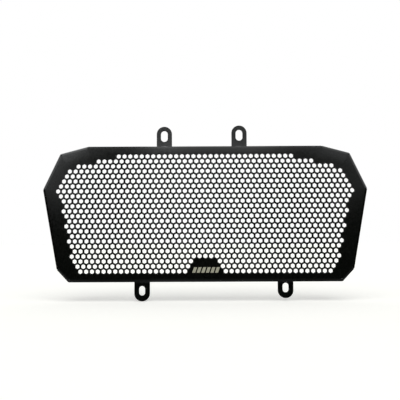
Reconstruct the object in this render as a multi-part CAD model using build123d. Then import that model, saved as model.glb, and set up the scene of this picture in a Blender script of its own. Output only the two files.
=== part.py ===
from build123d import *
import math
import os

# Motorcycle radiator guard, cut from one steel sheet and folded. A honeycomb of six-sided vents
# fills the panel. The panel's edge is folded back on its ten sides into a shallow tray, and four
# slotted tabs stand out from the rear edge of the top and bottom walls. The guard is bolted to the
# radiator's brackets through the tabs, with the open side of the tray towards the core.
#
# Millimetres. X runs across the guard, Z is up, and the panel faces -Y. While it is drawn, the
# panel's front face lies on y = 0 and z = 0 is half way up the panel. At the end the guard is moved
# so that its origin is the centre of its box.

# Sheet and folds
sheet = 1.5                      # thickness of the steel
bend_inside = 1.5                # inside radius of every fold
tray_depth = 10.0                # front face of the panel to rear edge of the walls
corner_gap = 0.6                 # slit between two neighbouring walls
notch_width = 1.5                # relief cut on each side of a tab's foot

# Outline of the panel over its folds, symmetrical about x = 0
panel_height = 141.5
top_half_width = 122.7           # end of the straight top edge
shoulder_half_width = 151.6      # corner where the shoulder meets the upper side
shoulder_below_top = 7.7
widest_half_width = 169.3        # side corner, where the guard is widest
widest_below_top = 45.2
foot_half_width = 153.9          # corner where the lower side meets the bottom corner cut
foot_above_bottom = 13.1
bottom_half_width = 141.7        # end of the straight bottom edge

# Plain rim between the outline and the nearest corner of a vent
top_rim = 8.3
shoulder_rim = 16.2
upper_side_rim = 12.9
lower_side_rim = 13.2
corner_cut_rim = 14.4
bottom_rim = 8.6

# Honeycomb of hexagons with a point up. The real sheet has vents of 4.4 mm at a pitch of 6 mm.
# These are larger and fewer, and leave the same share of the panel open.
vent_pitch = 10.2                # between neighbouring vents of a row
vent_across_flats = 7.5

# Plain trapezoid for a badge, low in the middle of the panel, where no vent is cut
badge_top_half_width = 10.5
badge_bottom_half_width = 19.5
badge_height = 15.6              # above the bottom rim

# Tabs, round at the end, each with a slot that runs up and down
tab_width = 16.2
upper_slot_width = 7.2
upper_slot_length = 11.7
upper_tip = 10.4                 # centre of the slot to the end of the tab
lower_slot_width = 6.3
lower_slot_length = 9.9
lower_tip = 10.9
upper_left_x = -42.9
upper_left_reach = 11.6          # panel's edge to the centre of the slot
upper_right_x = 36.4
upper_right_reach = 12.6
lower_left_x = -66.1
lower_left_reach = 9.4
lower_right_x = 83.5
lower_right_reach = 6.6

# Worked out from the sizes above
bend_outside = bend_inside + sheet
panel_top = panel_height / 2
panel_bottom = -panel_height / 2
vent_radius = vent_across_flats / math.sqrt(3)
row_pitch = vent_pitch * math.sqrt(3) / 2


def outline_corners():
    """The guard's ten corners seen from the front, clockwise from the right end of the top."""
    right_half = [
        (top_half_width, panel_top),
        (shoulder_half_width, panel_top - shoulder_below_top),
        (widest_half_width, panel_top - widest_below_top),
        (foot_half_width, panel_bottom + foot_above_bottom),
        (bottom_half_width, panel_bottom),
    ]
    return right_half + [(-x, z) for x, z in reversed(right_half)]


def outline_sides():
    """Each side of the outline as its start, its end and the width of the plain rim along it."""
    right_half = [shoulder_rim, upper_side_rim, lower_side_rim, corner_cut_rim]
    rims = right_half + [bottom_rim] + right_half[::-1] + [top_rim]
    corners = outline_corners()
    return list(zip(corners, corners[1:] + corners[:1], rims))


def distance_inside(point, start, end):
    """How far a point lies inside the side that runs clockwise from start to end."""
    run_x, run_z = end[0] - start[0], end[1] - start[1]
    from_x, from_z = point[0] - start[0], point[1] - start[1]
    return (from_x * run_z - from_z * run_x) / math.hypot(run_x, run_z)


def vent_corners(centre):
    """The six corners of a vent."""
    angles = [math.radians(30 + 60 * number) for number in range(6)]
    return [(centre[0] + vent_radius * math.cos(a), centre[1] + vent_radius * math.sin(a)) for a in angles]


def clears_rim(corners):
    """Whether a vent leaves the plain rim whole along every side, to a thousandth of a millimetre."""
    return all(distance_inside(corner, start, end) > rim - 0.001
               for start, end, rim in outline_sides() for corner in corners)


def clears_badge(centre):
    """Whether a vent's centre lies outside the plain trapezoid."""
    height = centre[1] - panel_bottom - bottom_rim
    taper = (badge_bottom_half_width - badge_top_half_width) / badge_height
    return height > badge_height or abs(centre[0]) > badge_bottom_half_width - taper * height


def vents():
    """The vents' corners, row by row from the top. Every second row is shifted by half a pitch."""
    first_row = panel_top - top_rim - vent_radius
    rows = math.ceil(panel_height / row_pitch)
    columns = math.ceil(widest_half_width / vent_pitch)
    found = []
    for row in range(rows):
        shift = vent_pitch / 2 * (row % 2)
        for column in range(-columns, columns + 1):
            centre = (column * vent_pitch + shift, first_row - row * row_pitch)
            if clears_rim(vent_corners(centre)) and clears_badge(centre):
                found.append(vent_corners(centre))
    return found


def closed_wire(corners):
    """A closed wire on y = 0 through the given corners."""
    return Wire.make_polygon([(x, 0, z) for x, z in corners])


def plate(face, start, end):
    """A solid with the shape of the face, from y = start to y = end."""
    return extrude(face.moved(Location((0, start, 0))), amount=end - start, dir=(0, 1, 0))


def inset(face, distance):
    """The face with all its sides moved inwards and its corners kept sharp."""
    return offset(face, amount=-distance, kind=Kind.INTERSECTION).face()


def round_front(solid, radius):
    """The solid with the edges of its front face rounded."""
    return fillet(solid.faces().sort_by(Axis.Y)[0].edges(), radius)


def vented_panel(outline):
    """The flat part of the panel, inside the folds, with its honeycomb."""
    flat = inset(outline, bend_outside)
    return plate(Face(flat.outer_wire(), [closed_wire(corners) for corners in vents()]), 0, sheet)


def corner_slit(before, corner, after):
    """What is cut so that the two walls beside a corner fold back without touching."""
    to_before = (Vector(before) - Vector(corner)).normalized()
    to_after = (Vector(after) - Vector(corner)).normalized()
    inwards = to_before + to_after
    half_angle = math.radians(to_before.get_angle(to_after) / 2)
    reach = bend_outside / math.sin(half_angle)
    turn = math.degrees(math.atan2(inwards.Y, inwards.X))
    cutter = Rotation(0, -turn, 0) * Box(2 * reach, 2 * tray_depth, corner_gap)
    return Pos(corner[0], tray_depth / 2, corner[1]) * cutter


def folded_rim(outline):
    """The panel's edge folded back all round: ten bends, each with its wall."""
    outside = round_front(plate(outline, 0, tray_depth), bend_outside)
    inside = round_front(plate(inset(outline, sheet), sheet, tray_depth), bend_inside)
    rim = outside - inside - plate(inset(outline, bend_outside), 0, tray_depth)
    corners = outline_corners()
    neighbours = zip(corners[-1:] + corners[:-1], corners, corners[1:] + corners[:1])
    return rim - [corner_slit(*three) for three in neighbours]


def tab_blade(slot_width, slot_length, tip, reach):
    """The straight part of a tab, standing on z = 0 with its rear face on y = 0."""
    slot_centre = reach - bend_inside
    end_centre = slot_centre + tip - tab_width / 2
    body = Pos(0, end_centre / 2) * Rectangle(tab_width, end_centre)
    end = Pos(0, end_centre) * Circle(tab_width / 2)
    slot = Pos(0, slot_centre) * SlotOverall(slot_length, slot_width, rotation=90)
    return extrude(Plane.XZ * (body + end - slot), amount=sheet, dir=(0, -1, 0))


def tab_foot():
    """The fold at the foot of a tab, a quarter of a ring about the line y = 0, z = 0."""
    ring = Circle(bend_outside) - Circle(bend_inside)
    quarter = ring & Rectangle(bend_outside, bend_outside, align=(Align.MIN, Align.MAX))
    return extrude(Plane.YZ * quarter, amount=tab_width / 2, both=True)


def tab(slot_width, slot_length, tip, reach):
    """A tab that points up, from an origin on the wall's outer face at the wall's rear edge."""
    blade = Pos(0, 0, bend_inside) * tab_blade(slot_width, slot_length, tip, reach)
    return blade + Pos(0, -bend_outside, bend_inside) * tab_foot()


def tab_notch():
    """What a tab's foot and the reliefs beside it take out of the wall."""
    width = tab_width + 2 * notch_width
    return Pos(0, -bend_outside, 0) * Box(width, 2 * bend_outside, 4 * sheet,
                                          align=(Align.CENTER, Align.MIN, Align.CENTER))


def placed_tabs():
    """Each tab's place on the rear edge of its wall, with its shape."""
    on_top = Pos(0, tray_depth, panel_top)
    on_bottom = Pos(0, tray_depth, panel_bottom) * Rotation(0, 180, 0)
    upper = (upper_slot_width, upper_slot_length, upper_tip)
    lower = (lower_slot_width, lower_slot_length, lower_tip)
    return [
        (Pos(upper_left_x, 0, 0) * on_top, tab(*upper, upper_left_reach)),
        (Pos(upper_right_x, 0, 0) * on_top, tab(*upper, upper_right_reach)),
        (Pos(lower_left_x, 0, 0) * on_bottom, tab(*lower, lower_left_reach)),
        (Pos(lower_right_x, 0, 0) * on_bottom, tab(*lower, lower_right_reach)),
    ]


def radiator_guard():
    """The whole guard as one solid, with its origin at the centre of its box."""
    outline = Face(closed_wire(outline_corners()))
    rim = folded_rim(outline)
    for place, shape in placed_tabs():
        rim = rim - place * tab_notch() + place * shape
    guard = rim + vented_panel(outline)
    return guard.moved(Location(-guard.bounding_box().center()))


os.makedirs("parts", exist_ok=True)
guard = radiator_guard()
guard.label = "radiator_guard"
export_step(guard, "parts/radiator_guard.step")
print("vents", len(vents()), "solids", len(guard.solids()), "volume", round(guard.volume))
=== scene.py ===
"""Studio picture of a motorcycle radiator guard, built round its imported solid.

The guard is one sheet of steel, laser cut, folded and powder coated. The solid carries a coarser
honeycomb than the real sheet. This file builds the sheet again on the same outline, folds and tabs,
with every vent, softened edges and the coat's finish, and puts it where the solid is.

Shapes are drawn in millimetres: x across the guard, z up from the middle of the panel, and y back
from the panel's front face. GuardSheet.place says where that drawing lies in the frame.
"""

from __future__ import annotations

import logging
import math
from dataclasses import dataclass, field
from enum import Enum

import bmesh
import bpy
from mathutils import Euler, Matrix, Vector
from mathutils.geometry import delaunay_2d_cdt


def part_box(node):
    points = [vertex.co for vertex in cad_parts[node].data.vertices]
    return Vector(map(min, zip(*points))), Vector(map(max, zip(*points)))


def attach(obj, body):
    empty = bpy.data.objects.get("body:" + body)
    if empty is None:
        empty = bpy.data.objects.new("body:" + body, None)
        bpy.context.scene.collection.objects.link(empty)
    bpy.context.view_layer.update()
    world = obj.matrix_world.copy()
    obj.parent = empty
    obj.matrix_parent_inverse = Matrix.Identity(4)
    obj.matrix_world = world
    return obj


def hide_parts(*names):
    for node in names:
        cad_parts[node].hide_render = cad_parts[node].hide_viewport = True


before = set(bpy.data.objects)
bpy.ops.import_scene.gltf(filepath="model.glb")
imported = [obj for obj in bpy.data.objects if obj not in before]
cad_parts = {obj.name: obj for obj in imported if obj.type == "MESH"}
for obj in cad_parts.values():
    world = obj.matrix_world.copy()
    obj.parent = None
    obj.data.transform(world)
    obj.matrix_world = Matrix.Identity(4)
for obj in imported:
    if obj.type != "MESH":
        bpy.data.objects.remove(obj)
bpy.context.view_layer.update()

Point = tuple[float, float]
Colour = tuple[float, float, float, float]
Value = bpy.types.NodeSocket | float

LOG = logging.getLogger("radiator_guard")
MM = 0.001
NODE = "radiator_guard"
BODY = "root"
WHITE: Colour = (1.0, 1.0, 1.0, 1.0)


class Ray(Enum):
    """Kinds of ray that a studio surface can tell apart."""

    CAMERA = "Is Camera Ray"
    GLOSSY = "Is Glossy Ray"
    TRANSMISSION = "Is Transmission Ray"


class Stretch(Enum):
    """What stands on one stretch of a wall's rear edge."""

    WALL = "wall"
    NOTCH = "notch"
    TAB = "tab"


def mirrored(right_half: list[Point]) -> list[Point]:
    """Close a symmetrical outline.

    Args:
        right_half: The corners right of the middle line, from the top down.

    Returns:
        All corners, clockwise as seen from the front.
    """
    return right_half + [(-x, z) for x, z in reversed(right_half)]


def is_inside(point: Point, corners: list[Point]) -> bool:
    """Tell whether a point lies inside a closed outline.

    Args:
        point: The point to test.
        corners: The outline's corners, in order.

    Returns:
        True when a line from the point crosses the outline an odd number of times.
    """
    x, z = point
    inside = False
    for (x1, z1), (x2, z2) in zip(corners, corners[1:] + corners[:1]):
        if (z1 > z) != (z2 > z) and x < x1 + (x2 - x1) * (z - z1) / (z2 - z1):
            inside = not inside
    return inside


def quarter_turn(steps: int) -> list[float]:
    """Return the angles from 0 to a right angle in equal steps."""
    return [math.pi / 2 * step / steps for step in range(steps + 1)]


def new_object(name: str, data: bpy.types.ID) -> bpy.types.Object:
    """Make an object and put it in the scene.

    Args:
        name: The object's name.
        data: Its mesh, camera or lamp.

    Returns:
        The new object.
    """
    made = bpy.data.objects.new(name, data)
    bpy.context.collection.objects.link(made)
    return made


def set_socket(node: bpy.types.Node, name: str, value: float | Colour) -> None:
    """Set one of a node's own inputs to a plain value."""
    node.inputs[name].default_value = value


def feed(tree: bpy.types.NodeTree, entry: bpy.types.NodeSocket, value: Value) -> None:
    """Give a node's input a value.

    Args:
        tree: The node tree.
        entry: The input.
        value: A socket that carries the value, or a number.
    """
    if isinstance(value, bpy.types.NodeSocket):
        tree.links.new(value, entry)
    else:
        entry.default_value = value


def product(tree: bpy.types.NodeTree, first: Value, second: Value) -> bpy.types.NodeSocket:
    """Multiply two values.

    Args:
        tree: The node tree.
        first: The first value.
        second: The second value.

    Returns:
        The socket that carries the product.
    """
    node = tree.nodes.new("ShaderNodeMath")
    node.operation = "MULTIPLY"
    for entry, value in zip(node.inputs, (first, second)):
        feed(tree, entry, value)
    return node.outputs["Value"]


def choice(tree: bpy.types.NodeTree, mask: Value, off: Value, on: Value) -> bpy.types.NodeSocket:
    """Choose between two values by a mask.

    Args:
        tree: The node tree.
        mask: 0 for the first value, 1 for the second.
        off: The value where the mask is 0.
        on: The value where the mask is 1.

    Returns:
        The socket that carries the chosen value.
    """
    node = tree.nodes.new("ShaderNodeMix")
    for name, value in (("Factor", mask), ("A", off), ("B", on)):
        feed(tree, node.inputs[name], value)
    return node.outputs["Result"]


def seen_directly(tree: bpy.types.NodeTree) -> bpy.types.NodeSocket:
    """Tell rays from the camera, and those that went on through something clear, from all others.

    Args:
        tree: The node tree of a material or a world.

    Returns:
        The socket that is 1 for such a ray and 0 for any other.
    """
    path = tree.nodes.new("ShaderNodeLightPath")
    either = tree.nodes.new("ShaderNodeMath")
    either.operation = "MAXIMUM"
    tree.links.new(path.outputs[Ray.CAMERA.value], either.inputs[0])
    tree.links.new(path.outputs[Ray.TRANSMISSION.value], either.inputs[1])
    return either.outputs["Value"]


@dataclass(frozen=True)
class SheetStock:
    """The steel sheet and how it is cut and folded, in millimetres."""

    thickness: float = 1.5
    bend_inside: float = 1.5
    tray_depth: float = 10.0
    corner_gap: float = 0.6
    notch_width: float = 1.5
    edge_round: float = 0.15
    bend_steps: int = 8
    foot_steps: int = 6
    edge_steps: int = 2

    @property
    def bend_outside(self) -> float:
        """Return the outside radius of a fold."""
        return self.bend_inside + self.thickness

    @property
    def neck(self) -> float:
        """Return how far behind the front face a tab's foot starts to curve."""
        return self.tray_depth - self.bend_outside


@dataclass(frozen=True)
class PanelOutline:
    """The guard's ten corners over its folds, in millimetres from the middle of the panel."""

    height: float = 141.5
    top_half_width: float = 122.7
    shoulder_half_width: float = 151.6
    shoulder_below_top: float = 7.7
    widest_half_width: float = 169.3
    widest_below_top: float = 45.2
    foot_half_width: float = 153.9
    foot_above_bottom: float = 13.1
    bottom_half_width: float = 141.7

    @property
    def top(self) -> float:
        """Return the height of the top edge."""
        return self.height / 2

    @property
    def bottom(self) -> float:
        """Return the height of the bottom edge."""
        return -self.height / 2

    def corners(self) -> list[Point]:
        """List the corners.

        Returns:
            The ten corners, clockwise from the right end of the top edge.
        """
        return mirrored([
            (self.top_half_width, self.top),
            (self.shoulder_half_width, self.top - self.shoulder_below_top),
            (self.widest_half_width, self.top - self.widest_below_top),
            (self.foot_half_width, self.bottom + self.foot_above_bottom),
            (self.bottom_half_width, self.bottom),
        ])


@dataclass(frozen=True)
class Honeycomb:
    """The vents: nested rows of hexagons with a point up, in millimetres.

    The field sizes give the outline that holds the centres of all the vents, and the badge sizes
    the trapezoid low in it where the sheet stays whole.
    """

    FLATS = 6
    FLAT_ANGLE = 60

    outline: PanelOutline
    pitch: float = 6.0
    across_flats: float = 4.2
    corner_round: float = 0.35
    first_row_below_top: float = 10.85
    field_top_half_width: float = 82.3
    field_above_first_row: float = 2.6
    field_shoulder_half_width: float = 143.6
    field_shoulder_below_top: float = 23.4
    field_widest_half_width: float = 153.8
    field_widest_below_top: float = 44.7
    field_bottom_half_width: float = 134.2
    field_above_bottom: float = 8.6
    badge_top_half_width: float = 10.5
    badge_bottom_half_width: float = 19.5
    badge_height: float = 15.6

    @property
    def first_row(self) -> float:
        """Return the height of the centres of the top row."""
        return self.outline.top - self.first_row_below_top

    @property
    def field_bottom(self) -> float:
        """Return the height of the lower edge of the field and of the badge's place."""
        return self.outline.bottom + self.field_above_bottom

    def field_corners(self) -> list[Point]:
        """List the corners of the field.

        Returns:
            Its eight corners, clockwise from the right end of its top edge.
        """
        return mirrored([
            (self.field_top_half_width, self.first_row + self.field_above_first_row),
            (self.field_shoulder_half_width, self.outline.top - self.field_shoulder_below_top),
            (self.field_widest_half_width, self.outline.top - self.field_widest_below_top),
            (self.field_bottom_half_width, self.field_bottom),
        ])

    def badge_corners(self) -> list[Point]:
        """List the corners of the badge's place.

        Returns:
            Its four corners, clockwise from the right end of its top edge.
        """
        return mirrored([
            (self.badge_top_half_width, self.field_bottom + self.badge_height),
            (self.badge_bottom_half_width, self.field_bottom),
        ])

    def centres(self) -> list[Point]:
        """List the centres of the vents.

        Returns:
            The centres row by row from the top, every second row shifted by half a pitch.
        """
        row_pitch = self.pitch * math.sqrt(3) / 2
        rows = math.ceil(self.outline.height / row_pitch)
        columns = math.ceil(self.outline.widest_half_width / self.pitch)
        lattice = [
            (column * self.pitch + self.pitch / 2 * (row % 2), self.first_row - row * row_pitch)
            for row in range(rows)
            for column in range(-columns, columns + 1)
        ]
        holding, badge = self.field_corners(), self.badge_corners()
        return [spot for spot in lattice if is_inside(spot, holding) and not is_inside(spot, badge)]

    def vent(self, centre: Point) -> list[Point]:
        """Trace one vent.

        Args:
            centre: The middle of the vent.

        Returns:
            Twelve points: each corner of the hexagon is cut short by its rounding.
        """
        half_flat = self.across_flats / 2
        slope = math.tan(math.radians(self.FLAT_ANGLE / 2))
        half_side = half_flat * slope - self.corner_round * slope
        reach = math.hypot(half_flat, half_side)
        swing = math.atan2(half_side, half_flat)
        middles = [math.radians(self.FLAT_ANGLE * flat) for flat in range(self.FLATS)]
        angles = [middle + turn for middle in middles for turn in (-swing, swing)]
        return [(centre[0] + reach * math.cos(a), centre[1] + reach * math.sin(a)) for a in angles]


@dataclass(frozen=True)
class Tab:
    """One slotted tab on the top or the bottom wall, in millimetres.

    Its reach runs from the wall to the centre of the slot, and its tip on from there to its end.
    """

    upper: bool
    across: float
    reach: float
    slot_width: float
    slot_length: float
    tip: float
    width: float = 16.2
    end_steps: int = 24
    slot_steps: int = 14

    def end_centre(self) -> float:
        """Return how far out from the wall the centre of the round end lies."""
        return self.reach + self.tip - self.width / 2

    def outer_loop(self, foot: float) -> list[Point]:
        """Trace the tab's flat blade.

        Args:
            foot: How far out from the wall the blade starts.

        Returns:
            Points as distance across and distance out, starting at the foot.
        """
        radius, centre = self.width / 2, self.end_centre()
        arc = [math.pi * step / self.end_steps for step in range(self.end_steps + 1)]
        end = [(radius * math.cos(a), centre + radius * math.sin(a)) for a in arc]
        return [(-radius, foot), (radius, foot)] + end

    def slot_loop(self) -> list[Point]:
        """Trace the slot.

        Returns:
            Points as distance across and distance out, half a turn at each end of the slot.
        """
        radius = self.slot_width / 2
        half_straight = (self.slot_length - self.slot_width) / 2
        loop: list[Point] = []
        for side in (1, -1):
            for step in range(self.slot_steps + 1):
                angle = math.pi * step / self.slot_steps
                out = self.reach + side * (half_straight + radius * math.sin(angle))
                loop.append((side * radius * math.cos(angle), out))
        return loop


def upper_tab(across: float, reach: float) -> Tab:
    """Return a tab of the top wall."""
    return Tab(upper=True, across=across, reach=reach, slot_width=7.2, slot_length=11.7, tip=10.4)


def lower_tab(across: float, reach: float) -> Tab:
    """Return a tab of the bottom wall."""
    return Tab(upper=False, across=across, reach=reach, slot_width=6.3, slot_length=9.9, tip=10.9)


class Skin:
    """The outer face of the folded sheet, as one open mesh in millimetres.

    Points that are nearer to each other than WELD are one point of the mesh. The other values are
    what the filling of a flat area is asked for.
    """

    WELD = 1e-4
    FILL_HULL = 0
    FILL_MERGE = 1e-6
    FILL_SOURCES = True

    def __init__(self) -> None:
        """Start with an empty mesh."""
        self.mesh = bmesh.new()
        self._corners: dict[tuple[int, ...], bmesh.types.BMVert] = {}

    def vertex(self, place: Vector) -> bmesh.types.BMVert:
        """Find or make the mesh's point at a place.

        Args:
            place: Where the point is.

        Returns:
            The point, the same one whenever the place comes again.
        """
        key = tuple(round(value / self.WELD) for value in place)
        if key not in self._corners:
            self._corners[key] = self.mesh.verts.new(place)
        return self._corners[key]

    def face(self, places: list[Vector]) -> None:
        """Add one face, unless two of its corners meet.

        Args:
            places: Its corners, in order.
        """
        corners = [self.vertex(place) for place in places]
        if len(set(corners)) == len(corners):
            self.mesh.faces.new(corners)

    def strip(self, near: list[Vector], far: list[Vector]) -> None:
        """Add a row of four-sided faces.

        Args:
            near: The points along one side of the row.
            far: As many points along the other side.
        """
        for first in range(len(near) - 1):
            self.face([near[first], near[first + 1], far[first + 1], far[first]])

    def flat(self, loops: list[list[Point]], to_space: Matrix) -> None:
        """Fill a flat convex area that has convex holes.

        A triangle whose corners all lie on one hole's edge is inside that hole and is left out.

        Args:
            loops: The outer edge first, then each hole, as points on a plane.
            to_space: Moves a point (u, v, 0) of the plane to its place.
        """
        points: list[Vector] = []
        edges: list[tuple[int, int]] = []
        loop_of: list[int] = []
        for number, loop in enumerate(loops):
            start = len(points)
            points += [Vector(point) for point in loop]
            ends = list(range(start + 1, len(points))) + [start]
            edges += list(zip(range(start, len(points)), ends))
            loop_of += [number] * len(loop)
        options = (self.FILL_HULL, self.FILL_MERGE, self.FILL_SOURCES)
        found, _, faces, sources, *_ = delaunay_2d_cdt(points, edges, [], *options)
        for corners in faces:
            touched = {loop_of[sources[corner][0]] for corner in corners}
            if touched == {0} or len(touched) > 1:
                self.face([to_space @ found[corner].to_3d() for corner in corners])

    def finished(self, name: str) -> bpy.types.Mesh:
        """Turn the skin into a mesh whose front faces -Y.

        Args:
            name: The mesh's name.

        Returns:
            The mesh, in metres.
        """
        bmesh.ops.recalc_face_normals(self.mesh, faces=self.mesh.faces[:])
        front = max(self.mesh.faces, key=lambda face: -face.calc_center_median().y)
        if front.normal.y > 0:
            bmesh.ops.reverse_faces(self.mesh, faces=self.mesh.faces[:])
        self.mesh.transform(Matrix.Scale(MM, 4))
        data = bpy.data.meshes.new(name)
        self.mesh.to_mesh(data)
        self.mesh.free()
        return data


@dataclass
class FoldedSide:
    """One side of the panel with its bend, its wall and any tabs on it.

    The half turns are half of how far the outline turns at the side's two ends, in radians.
    """

    stock: SheetStock
    start: Point
    end: Point
    start_half_turn: float
    end_half_turn: float
    tabs: list[Tab] = field(default_factory=list)

    def __post_init__(self) -> None:
        """Work out the side's directions, the order of its tabs and the stretches of its wall."""
        run = Vector(self.end) - Vector(self.start)
        self.length = run.length
        self.along = run.normalized()
        self.outward = Vector((-self.along.y, self.along.x))
        self.tabs = sorted(self.tabs, key=lambda tab: tab.across * self.along.x)
        self.stops, self.kinds = self._stretches()

    def _stretches(self) -> tuple[list[float], list[Stretch]]:
        """Divide the wall at its tabs.

        Returns:
            Where the wall changes between its ends, and what stands on each stretch.
        """
        stops: list[float] = []
        kinds = [Stretch.WALL]
        for tab in self.tabs:
            middle = (tab.across - self.start[0]) * self.along.x
            half, notch = tab.width / 2, self.stock.notch_width
            stops += [middle - half - notch, middle - half, middle + half, middle + half + notch]
            kinds += [Stretch.NOTCH, Stretch.TAB, Stretch.NOTCH, Stretch.WALL]
        return stops, kinds

    def row(self, inset: float, behind: float) -> list[Vector]:
        """Place a row of points along the side.

        Args:
            inset: Distance inwards from the outline.
            behind: Distance behind the panel's front face.

        Returns:
            The points at the side's two ends and at each change of its wall.
        """
        half_gap = self.stock.corner_gap / 2
        first = inset * math.tan(self.start_half_turn) + half_gap / math.cos(self.start_half_turn)
        last = inset * math.tan(self.end_half_turn) + half_gap / math.cos(self.end_half_turn)
        distances = [first, *self.stops, self.length - last]
        flat = [Vector(self.start) + self.along * far - self.outward * inset for far in distances]
        return [Vector((spot.x, behind, spot.y)) for spot in flat]

    def bend_line(self) -> list[Point]:
        """Return the points where the flat panel meets this side's bend."""
        return [(spot.x, spot.z) for spot in self.row(self.stock.bend_outside, 0.0)]

    def build(self, skin: Skin) -> None:
        """Add the bend, the wall and the tabs.

        Args:
            skin: The mesh that they are added to.
        """
        radius = self.stock.bend_outside
        angles = quarter_turn(self.stock.bend_steps)
        rows = [self.row(radius * (1 - math.sin(a)), radius * (1 - math.cos(a))) for a in angles]
        rows.append(self.row(0.0, self.stock.neck))
        for near, far in zip(rows, rows[1:]):
            skin.strip(near, far)
        neck, rear = rows[-1], self.row(0.0, self.stock.tray_depth)
        waiting = iter(self.tabs)
        for index, kind in enumerate(self.kinds):
            if kind is Stretch.WALL:
                skin.strip(neck[index:index + 2], rear[index:index + 2])
            elif kind is Stretch.TAB:
                self._tab(skin, next(waiting))

    def _tab(self, skin: Skin, tab: Tab) -> None:
        """Add one tab: its foot, curved about a line outside the wall, and its slotted blade.

        Args:
            skin: The mesh that it is added to.
            tab: The tab, on this side's wall.
        """
        foot = self.stock.bend_inside
        half = tab.width / 2
        wall_level = self.start[1]
        out = self.outward.y
        rows = []
        for angle in quarter_turn(self.stock.foot_steps):
            behind = self.stock.neck + foot * math.sin(angle)
            level = wall_level + out * foot * (1 - math.cos(angle))
            rows.append([Vector((tab.across + side * half, behind, level)) for side in (-1, 1)])
        for near, far in zip(rows, rows[1:]):
            skin.strip(near, far)
        blade_front = self.stock.tray_depth - self.stock.thickness
        to_space = Matrix((
            (1, 0, 0, tab.across),
            (0, 0, 0, blade_front),
            (0, out, 0, wall_level),
            (0, 0, 0, 1),
        ))
        skin.flat([tab.outer_loop(foot), tab.slot_loop()], to_space)


class FineGrain:
    """The node group of a sprayed surface: a fine grain over a slow waviness."""

    NAME = "fine_grain"
    INPUTS = (("Grain Scale", 2500.0), ("Wave Scale", 320.0), ("Wave Share", 0.5))
    OUTPUTS = ("Height", "Mask")
    GRAIN_DETAIL = 3.0
    WAVE_DETAIL = 2.0
    NOISE_LOW = 0.3
    NOISE_HIGH = 0.7

    @classmethod
    def group(cls) -> bpy.types.NodeTree:
        """Build the group, the first time that it is asked for.

        Returns:
            A group with the sockets Grain Scale, Wave Scale and Wave Share, that puts out a Height
            for bump and a slow Mask from 0 to 1.
        """
        if cls.NAME in bpy.data.node_groups:
            return bpy.data.node_groups[cls.NAME]
        tree = bpy.data.node_groups.new(cls.NAME, "ShaderNodeTree")
        for name, default in cls.INPUTS:
            made = tree.interface.new_socket(name, in_out="INPUT", socket_type="NodeSocketFloat")
            made.default_value = default
        for name in cls.OUTPUTS:
            tree.interface.new_socket(name, in_out="OUTPUT", socket_type="NodeSocketFloat")
        nodes, links = tree.nodes, tree.links
        entry, leave = nodes.new("NodeGroupInput"), nodes.new("NodeGroupOutput")
        place = nodes.new("ShaderNodeTexCoord").outputs["Object"]
        grain = cls._noise(tree, place, entry.outputs["Grain Scale"], cls.GRAIN_DETAIL)
        wave = cls._noise(tree, place, entry.outputs["Wave Scale"], cls.WAVE_DETAIL)
        height = nodes.new("ShaderNodeMix")
        links.new(entry.outputs["Wave Share"], height.inputs["Factor"])
        links.new(grain, height.inputs["A"])
        links.new(wave, height.inputs["B"])
        links.new(height.outputs["Result"], leave.inputs["Height"])
        mask = nodes.new("ShaderNodeMapRange")
        set_socket(mask, "From Min", cls.NOISE_LOW)
        set_socket(mask, "From Max", cls.NOISE_HIGH)
        links.new(wave, mask.inputs["Value"])
        links.new(mask.outputs["Result"], leave.inputs["Mask"])
        return tree

    @staticmethod
    def _noise(
        tree: bpy.types.NodeTree,
        place: bpy.types.NodeSocket,
        scale: bpy.types.NodeSocket,
        detail: float,
    ) -> bpy.types.NodeSocket:
        """Add a noise to the group.

        Args:
            tree: The group.
            place: The socket that carries the place on the object.
            scale: The socket that carries the noise's scale.
            detail: How many finer layers the noise has.

        Returns:
            The socket that carries the noise.
        """
        noise = tree.nodes.new("ShaderNodeTexNoise")
        set_socket(noise, "Detail", detail)
        tree.links.new(place, noise.inputs["Vector"])
        tree.links.new(scale, noise.inputs["Scale"])
        return noise.outputs["Fac"]


@dataclass(frozen=True)
class SprayedFinish:
    """A sprayed or printed finish. Colour and roughness go from low to high with the waviness."""

    name: str
    colour_low: Colour
    colour_high: Colour
    gloss_tint: Colour
    roughness_low: float
    roughness_high: float
    grain_scale: float
    wave_scale: float
    wave_share: float
    bump_mm: float
    bump_strength: float

    def material(self) -> bpy.types.Material:
        """Build the finish.

        Returns:
            A node material. Its colour, roughness and normal come from the fine grain.
        """
        made = bpy.data.materials.new(self.name)
        made.use_nodes = True
        nodes, links = made.node_tree.nodes, made.node_tree.links
        shader = nodes["Principled BSDF"]
        set_socket(shader, "Specular Tint", self.gloss_tint)
        grain = nodes.new("ShaderNodeGroup")
        grain.node_tree = FineGrain.group()
        set_socket(grain, "Grain Scale", self.grain_scale)
        set_socket(grain, "Wave Scale", self.wave_scale)
        set_socket(grain, "Wave Share", self.wave_share)
        bump = nodes.new("ShaderNodeBump")
        set_socket(bump, "Strength", self.bump_strength)
        set_socket(bump, "Distance", self.bump_mm * MM)
        links.new(grain.outputs["Height"], bump.inputs["Height"])
        links.new(bump.outputs["Normal"], shader.inputs["Normal"])
        cover = nodes.new("ShaderNodeValToRGB")
        cover.color_ramp.elements[0].color = self.colour_low
        cover.color_ramp.elements[1].color = self.colour_high
        links.new(grain.outputs["Mask"], cover.inputs["Fac"])
        links.new(cover.outputs["Color"], shader.inputs["Base Color"])
        gloss = nodes.new("ShaderNodeMapRange")
        set_socket(gloss, "To Min", self.roughness_low)
        set_socket(gloss, "To Max", self.roughness_high)
        links.new(grain.outputs["Mask"], gloss.inputs["Value"])
        links.new(gloss.outputs["Result"], shader.inputs["Roughness"])
        return made


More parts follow.
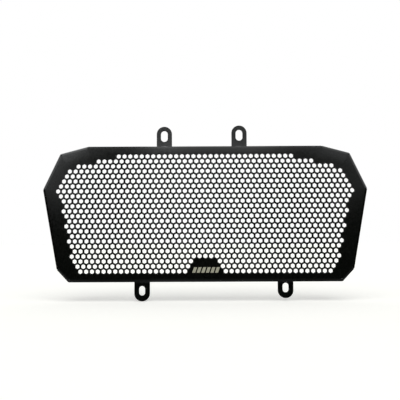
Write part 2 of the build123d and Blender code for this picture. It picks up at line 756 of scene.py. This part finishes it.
BLACK_COAT = SprayedFinish(
    name="satin_black_powder_coat",
    colour_low=(0.0022, 0.0026, 0.0021, 1.0),
    colour_high=(0.0036, 0.0041, 0.0034, 1.0),
    gloss_tint=(0.96, 0.985, 1.0, 1.0),
    roughness_low=0.1,
    roughness_high=0.17,
    grain_scale=1500.0,
    wave_scale=450.0,
    wave_share=0.6,
    bump_mm=0.03,
    bump_strength=0.8,
)
PALE_PRINT = SprayedFinish(
    name="pale_badge_print",
    colour_low=(0.32, 0.315, 0.235, 1.0),
    colour_high=(0.4, 0.395, 0.305, 1.0),
    gloss_tint=WHITE,
    roughness_low=0.5,
    roughness_high=0.62,
    grain_scale=2600.0,
    wave_scale=700.0,
    wave_share=0.4,
    bump_mm=0.02,
    bump_strength=0.2,
)


@dataclass(frozen=True)
class GuardSheet:
    """The whole guard: one sheet with its vents, folds, walls and tabs.

    An edge that turns by more than CUT_ANGLE, in degrees, is a cut edge, and is rounded off.
    """

    NAME = "guard_sheet"
    CUT_ANGLE = 50.0

    stock: SheetStock = SheetStock()
    outline: PanelOutline = PanelOutline()
    honeycomb: Honeycomb = Honeycomb(PanelOutline())
    tabs: tuple[Tab, ...] = (
        upper_tab(across=-42.9, reach=11.6),
        upper_tab(across=36.4, reach=12.6),
        lower_tab(across=-66.1, reach=9.4),
        lower_tab(across=83.5, reach=6.6),
    )

    def sides(self) -> list[FoldedSide]:
        """Lay out the sides.

        Returns:
            The ten sides, clockwise from the right shoulder. The level ones carry their tabs.
        """
        corners = self.outline.corners()
        before, after = corners[-1:] + corners[:-1], corners[1:] + corners[:1]
        half_turns = [
            (Vector(corner) - Vector(last)).angle(Vector(following) - Vector(corner)) / 2
            for last, corner, following in zip(before, corners, after)
        ]
        end_half_turns = half_turns[1:] + half_turns[:1]
        sides = []
        for start, end, start_turn, end_turn in zip(corners, after, half_turns, end_half_turns):
            level = start[1] == end[1]
            on_it = [tab for tab in self.tabs if level and tab.upper == (start[1] > 0)]
            sides.append(FoldedSide(self.stock, start, end, start_turn, end_turn, on_it))
        return sides

    def rise(self) -> float:
        """Work out how far the drawn guard moves up to have its box centred.

        Returns:
            The distance in millimetres, less than 0 where the guard moves down.
        """
        ends = [tab.end_centre() + tab.width / 2 for tab in self.tabs]
        tops = [self.outline.top + end for tab, end in zip(self.tabs, ends) if tab.upper]
        lows = [self.outline.bottom - end for tab, end in zip(self.tabs, ends) if not tab.upper]
        return -(max(tops) + min(lows)) / 2

    def place(self) -> Vector:
        """Find the drawing's place from the box of the solid.

        Returns:
            Where the drawing's origin lies in the frame, in metres.
        """
        low, high = (Vector(corner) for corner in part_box(NODE))
        centre = (low + high) / 2
        return Vector((centre.x, low.y, centre.z + self.rise() * MM))

    def build(self) -> bpy.types.Object:
        """Build the sheet, give it its thickness, its soft edges and its coat.

        Returns:
            The finished piece, which stands for the solid.
        """
        skin = Skin()
        rim: list[Point] = []
        for side in self.sides():
            rim += side.bend_line()
            side.build(skin)
        vents = [self.honeycomb.vent(centre) for centre in self.honeycomb.centres()]
        to_front = Matrix(((1, 0, 0, 0), (0, 0, 0, 0), (0, 1, 0, 0), (0, 0, 0, 1)))
        skin.flat([rim, *vents], to_front)
        data = skin.finished(self.NAME)
        data.transform(Matrix.Translation(self.place()))
        sheet = new_object(self.NAME, data)
        self._thicken(sheet)
        data.materials.append(BLACK_COAT.material())
        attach(sheet, BODY)
        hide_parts(NODE)
        return sheet

    def _thicken(self, sheet: bpy.types.Object) -> None:
        """Give the skin the sheet's thickness and round off its cut edges.

        Args:
            sheet: The piece, still a skin.
        """
        for polygon in sheet.data.polygons:
            polygon.use_smooth = True
        thick = sheet.modifiers.new("thickness", "SOLIDIFY")
        thick.thickness = self.stock.thickness * MM
        thick.offset = -1.0
        thick.use_even_offset = True
        soft = sheet.modifiers.new("cut_edges", "BEVEL")
        soft.width = self.stock.edge_round * MM
        soft.segments = self.stock.edge_steps
        soft.limit_method = "ANGLE"
        soft.angle_limit = math.radians(self.CUT_ANGLE)
        soft.use_clamp_overlap = False
        soft.harden_normals = True


@dataclass(frozen=True)
class BadgeBars:
    """A plain row of slanted bars printed where such guards carry a badge, in millimetres."""

    NAME = "badge_bars"

    count: int = 6
    bar_width: float = 3.2
    gap: float = 1.5
    height: float = 5.6
    slant: float = 2.0
    thickness: float = 0.06
    middle_across: float = 0.6
    middle_below_centre: float = 58.3

    def build(self, guard: GuardSheet) -> bpy.types.Object:
        """Print the bars on the front face.

        Args:
            guard: The sheet that carries them.

        Returns:
            The piece that holds all the bars.
        """
        shape = bmesh.new()
        step = self.bar_width + self.gap
        first = self.middle_across - step * (self.count - 1) / 2
        for number in range(self.count):
            self._bar(shape, first + step * number)
        shape.transform(Matrix.Translation(guard.place()) @ Matrix.Scale(MM, 4))
        data = bpy.data.meshes.new(self.NAME)
        shape.to_mesh(data)
        shape.free()
        data.materials.append(PALE_PRINT.material())
        bars = new_object(self.NAME, data)
        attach(bars, BODY)
        return bars

    def _bar(self, shape: bmesh.types.BMesh, middle: float) -> None:
        """Add one slanted bar, its back on the sheet's front face.

        Args:
            shape: The mesh that holds all the bars.
            middle: How far across the guard the bar's middle is.
        """
        low = -self.middle_below_centre - self.height / 2
        high = -self.middle_below_centre + self.height / 2
        half, lean = self.bar_width / 2, self.slant / 2
        corners = [
            (middle - half - lean, low),
            (middle + half - lean, low),
            (middle + half + lean, high),
            (middle - half + lean, high),
        ]
        back = [shape.verts.new((x, 0.0, z)) for x, z in corners]
        front = [shape.verts.new((x, -self.thickness, z)) for x, z in corners]
        shape.faces.new(front)
        shape.faces.new(back[::-1])
        for edge in zip(back, back[1:] + back[:1], front[1:] + front[:1], front):
            shape.faces.new(edge)


@dataclass(frozen=True)
class Camera:
    """The photograph's viewpoint: distances in millimetres, angles in degrees."""

    NAME = "photo_camera"

    lens: float = 50.0
    sensor: float = 36.0
    across: float = -4.1
    in_front: float = 580.5
    height: float = -27.7
    look_up: float = 4.0
    look_left: float = 0.12
    roll: float = -0.25
    clip_near: float = 10.0
    clip_far: float = 20000.0

    def build(self) -> bpy.types.Object:
        """Place the camera and make it the scene's own.

        Returns:
            The camera.
        """
        data = bpy.data.cameras.new(self.NAME)
        data.lens = self.lens
        data.sensor_width = self.sensor
        data.sensor_fit = "HORIZONTAL"
        data.clip_start = self.clip_near * MM
        data.clip_end = self.clip_far * MM
        camera = new_object(self.NAME, data)
        aim = Euler((math.radians(90 + self.look_up), 0.0, math.radians(self.look_left))).to_matrix()
        turn = aim @ Matrix.Rotation(math.radians(self.roll), 3, "Z")
        place = Vector((self.across, -self.in_front, self.height)) * MM
        camera.matrix_world = Matrix.Translation(place) @ turn.to_4x4()
        bpy.context.scene.camera = camera
        return camera


@dataclass(frozen=True)
class SoftSun:
    """The studio's one lamp, so large and far away that its light is even and its shadows soft.

    Its elevation, its turn to the right and its spread are in degrees.
    """

    NAME = "soft_sun"

    elevation: float = 54.0
    to_the_right: float = 3.0
    spread: float = 60.0
    strength: float = 1.3

    def build(self) -> bpy.types.Object:
        """Hang the lamp above and in front of the guard, where the coat doesn't mirror it.

        Returns:
            The lamp.
        """
        data = bpy.data.lights.new(self.NAME, "SUN")
        data.energy = self.strength
        data.angle = math.radians(self.spread)
        lamp = new_object(self.NAME, data)
        tilt = math.radians(90 - self.elevation)
        lamp.rotation_euler = Euler((tilt, 0.0, math.radians(self.to_the_right)))
        lamp.visible_glossy = False
        return lamp


@dataclass(frozen=True)
class TentProfile:
    """How bright the studio tent looks in the coat along one direction.

    Each stop gives a direction component from -1 to 1 and a share of the brightest level.
    """

    NEW_POINT = (0.5, 0.5)

    stops: tuple[Point, ...]

    def node(self, tree: bpy.types.NodeTree, direction: bpy.types.NodeSocket) -> bpy.types.NodeSocket:
        """Add the profile to a world's nodes.

        Args:
            tree: The world's node tree.
            direction: The direction component, from -1 to 1.

        Returns:
            The socket that carries the brightness.
        """
        half = tree.nodes.new("ShaderNodeMapRange")
        set_socket(half, "From Min", -1.0)
        curve = tree.nodes.new("ShaderNodeFloatCurve")
        points = curve.mapping.curves[0].points
        while len(points) < len(self.stops):
            points.new(*self.NEW_POINT)
        for point, (component, level) in zip(points, self.stops):
            point.location = ((component + 1) / 2, level)
            point.handle_type = "AUTO_CLAMPED"
        curve.mapping.update()
        tree.links.new(direction, half.inputs["Value"])
        tree.links.new(half.outputs["Result"], curve.inputs["Value"])
        return curve.outputs["Value"]


@dataclass(frozen=True)
class FloorFinish:
    """The floor's pale matt finish, which the camera sees as white where nothing shades it.

    Its lift is the light that it adds of its own, for rays that see it directly.
    """

    NAME = "pale_floor"

    colour: Colour = (0.9, 0.903, 0.855, 1.0)
    roughness: float = 0.9
    lift: float = 0.33

    def material(self) -> bpy.types.Material:
        """Build the finish.

        Returns:
            A node material.
        """
        made = bpy.data.materials.new(self.NAME)
        made.use_nodes = True
        tree = made.node_tree
        shader = tree.nodes["Principled BSDF"]
        set_socket(shader, "Base Color", self.colour)
        set_socket(shader, "Roughness", self.roughness)
        set_socket(shader, "Specular IOR Level", 0.0)
        set_socket(shader, "Emission Color", WHITE)
        added = product(tree, seen_directly(tree), self.lift)
        tree.links.new(added, shader.inputs["Emission Strength"])
        return made


@dataclass(frozen=True)
class Studio:
    """The pale floor, the pale tent round it and the soft light.

    The floor's size is in metres. The light levels are strengths of the world.
    """

    FLOOR_NAME = "studio_floor"
    WORLD_NAME = "studio_world"

    floor_size: float = 12.0
    floor_finish: FloorFinish = FloorFinish()
    lamp: SoftSun = SoftSun()
    plain_light: float = 0.45
    tent_level: float = 2.4
    tent_by_height: TentProfile = TentProfile((
        (-1.0, 0.16), (-0.45, 0.14), (-0.28, 0.09), (-0.15, 0.0), (0.035, 0.0),
        (0.055, 0.08), (0.08, 0.25), (0.105, 0.29), (0.15, 0.18), (0.165, 0.24),
        (0.19, 0.72), (0.3, 0.82), (0.5, 0.95), (1.0, 1.0),
    ))
    tent_by_side: TentProfile = TentProfile((
        (-1.0, 0.3), (-0.7, 0.75), (-0.4, 1.0), (-0.25, 1.0), (-0.215, 0.28),
        (-0.17, 0.17), (-0.11, 0.17), (-0.07, 0.98), (-0.03, 0.52), (0.05, 0.5),
        (0.085, 0.66), (0.17, 0.2), (0.24, 0.5), (0.4, 0.55), (0.7, 0.6), (1.0, 0.3),
    ))

    def build(self) -> bpy.types.Object:
        """Build the floor, the surroundings and the lamp, and set the view transform.

        Returns:
            The floor.
        """
        floor = self._floor()
        self._surroundings()
        self.lamp.build()
        bpy.context.scene.view_settings.view_transform = "Standard"
        return floor

    def _floor(self) -> bpy.types.Object:
        """Lay the floor under the lowest tab.

        Returns:
            The floor, which isn't part of the object.
        """
        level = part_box(NODE)[0][2]
        half = self.floor_size / 2
        data = bpy.data.meshes.new(self.FLOOR_NAME)
        corners = [(-half, -half, level), (half, -half, level), (half, half, level), (-half, half, level)]
        data.from_pydata(corners, [], [(0, 1, 2, 3)])
        floor = new_object(self.FLOOR_NAME, data)
        floor.visible_glossy = False
        data.materials.append(self.floor_finish.material())
        return floor

    def _surroundings(self) -> None:
        """Make the world: white to the camera, a shaded tent in the coat, and plain soft light."""
        world = bpy.data.worlds.new(self.WORLD_NAME)
        bpy.context.scene.world = world
        world.use_nodes = True
        tree = world.node_tree
        nodes, links = tree.nodes, tree.links
        background = nodes["Background"]
        set_socket(background, "Color", WHITE)
        place = nodes.new("ShaderNodeTexCoord")
        parts = nodes.new("ShaderNodeSeparateXYZ")
        links.new(place.outputs["Generated"], parts.inputs["Vector"])
        by_height = self.tent_by_height.node(tree, parts.outputs["Z"])
        by_side = self.tent_by_side.node(tree, parts.outputs["X"])
        tent = product(tree, product(tree, by_height, by_side), self.tent_level)
        path = nodes.new("ShaderNodeLightPath")
        lit = choice(tree, path.outputs[Ray.GLOSSY.value], self.plain_light, tent)
        strength = choice(tree, seen_directly(tree), lit, 1.0)
        links.new(strength, background.inputs["Strength"])


def report(piece: bpy.types.Object) -> None:
    """Log a piece's name and how many faces it is drawn with, before its modifiers."""
    LOG.info("%s: %d faces", piece.name, len(piece.data.polygons))


def main() -> None:
    """Build the guard, its badge place, the studio and the camera, and report each piece."""
    logging.basicConfig(level=logging.INFO, format="%(name)s %(message)s")
    guard = GuardSheet()
    report(guard.build())
    report(BadgeBars().build(guard))
    report(Studio().build())
    camera = Camera().build()
    LOG.info("%s: %.1f mm in front of the guard's middle", camera.name, -camera.location.y / MM)


if __name__ == "__main__":
    main()
